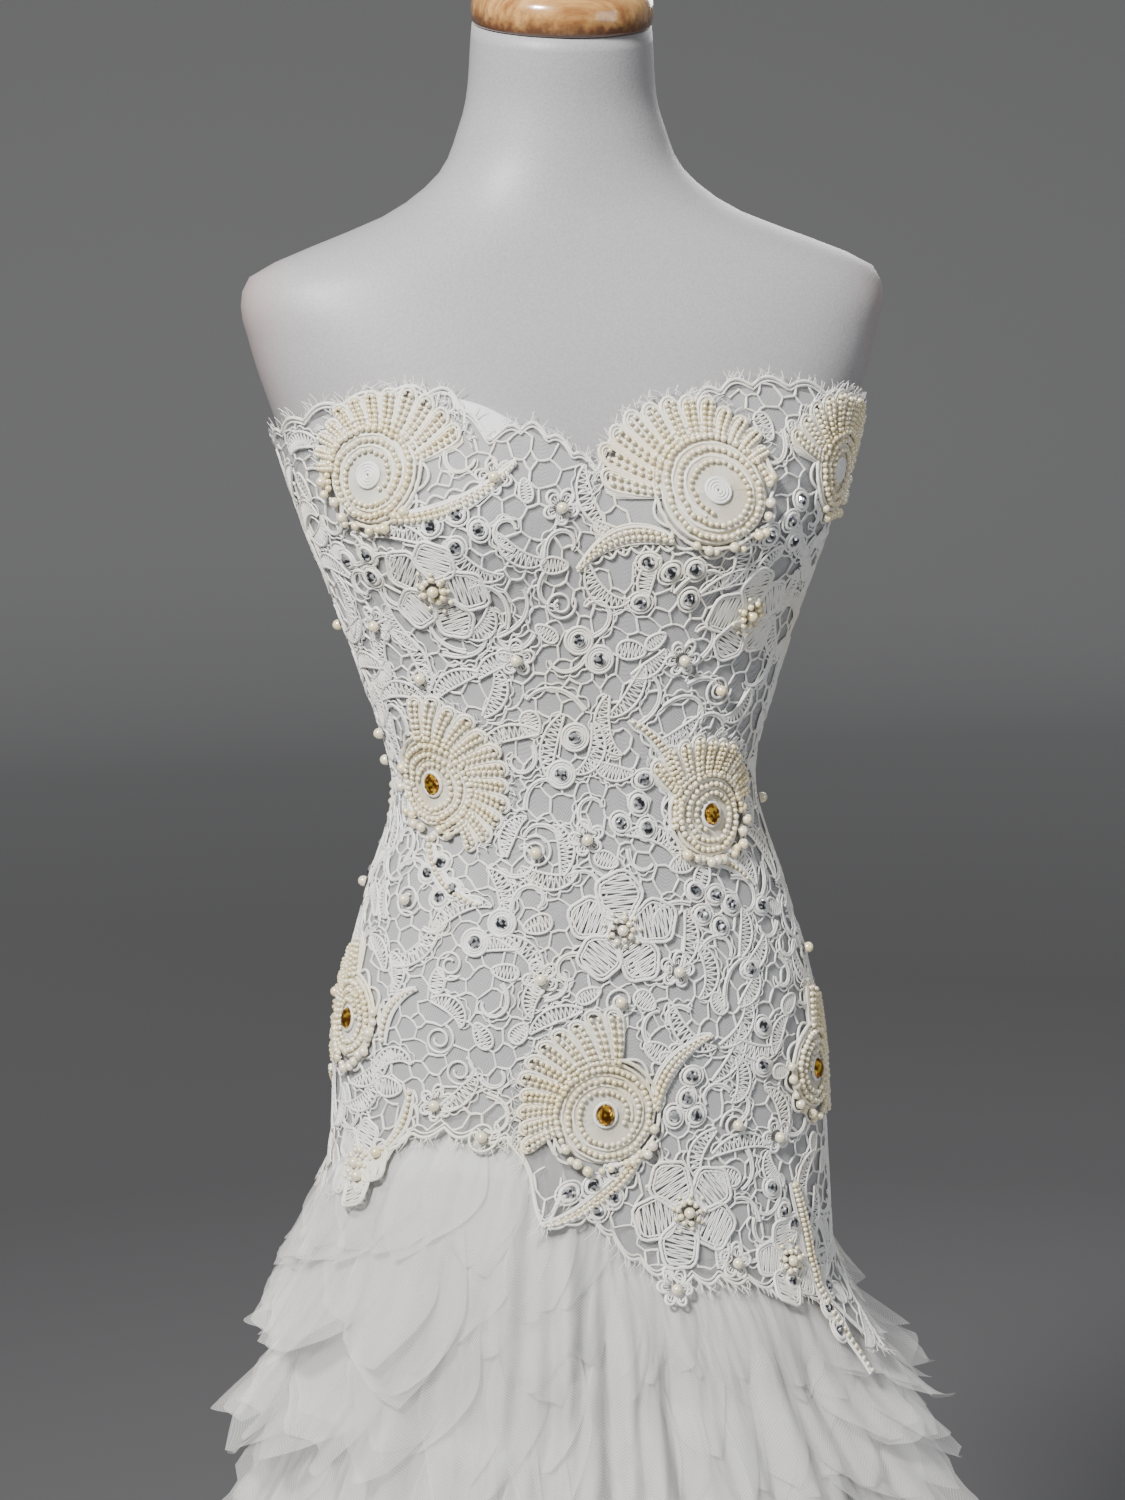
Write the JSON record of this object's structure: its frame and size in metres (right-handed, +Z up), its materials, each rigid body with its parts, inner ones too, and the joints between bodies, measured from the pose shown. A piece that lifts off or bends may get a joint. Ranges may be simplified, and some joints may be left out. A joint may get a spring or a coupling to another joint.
{
  "type": "lace prom dress on a limbless dress form",
  "caption": "Strapless sweetheart lace gown with a tiered tulle skirt, standing on a limbless dress form with a pole and round foot.",
  "frame": {"origin": "middle of the stand's flat underside, on the floor", "axes": "+Z up; the dress's front faces -Y; +X is the viewer's right when facing the front"},
  "size_m": [0.8045, 0.7854, 1.5451],
  "materials": {
    "form_skin": "smooth matte white skin",
    "honey_wood": "glossy varnish",
    "stand_metal": "satin",
    "zip_metal": "polished",
    "white_satin": "white lining satin",
    "ivory_lace": "corded guipure lace with cream pearls and clear and amber crystals",
    "white_tulle": "sheer soft tulle, raw edged"
  },
  "bodies": {
    "dress_on_form": {"form_torso": "form_skin", "neck_cap": "honey_wood", "stand_pole": "stand_metal", "stand_base": "stand_metal", "lining_front": "white_satin", "lining_back_left": "white_satin", "lining_back_right": "white_satin", "lace_front": "ivory_lace", "lace_back_left": "ivory_lace", "lace_back_right": "ivory_lace", "underskirt_front": "white_satin", "underskirt_back": "white_satin", "tulle_1_front": "white_tulle", "tulle_1_back": "white_tulle", "tulle_2_front": "white_tulle", "tulle_2_back": "white_tulle", "tulle_3_front": "white_tulle", "tulle_3_back": "white_tulle", "tulle_4_front": "white_tulle", "tulle_4_back": "white_tulle", "tulle_5_front": "white_tulle", "tulle_5_back": "white_tulle", "tulle_6_front": "white_tulle", "tulle_6_back": "white_tulle", "zip_slider": "zip_metal"},
    "pull_tab": {"zip_pull": "zip_metal"}
  },
  "joints": [
    {"name": "pull_tab_hinge", "type": "hinge", "parent": "dress_on_form", "child": "pull_tab", "pos_m": [0, 0.10147, 1.216], "axis": [1, 0, 0], "range_deg": [0, 150]}
  ]
}
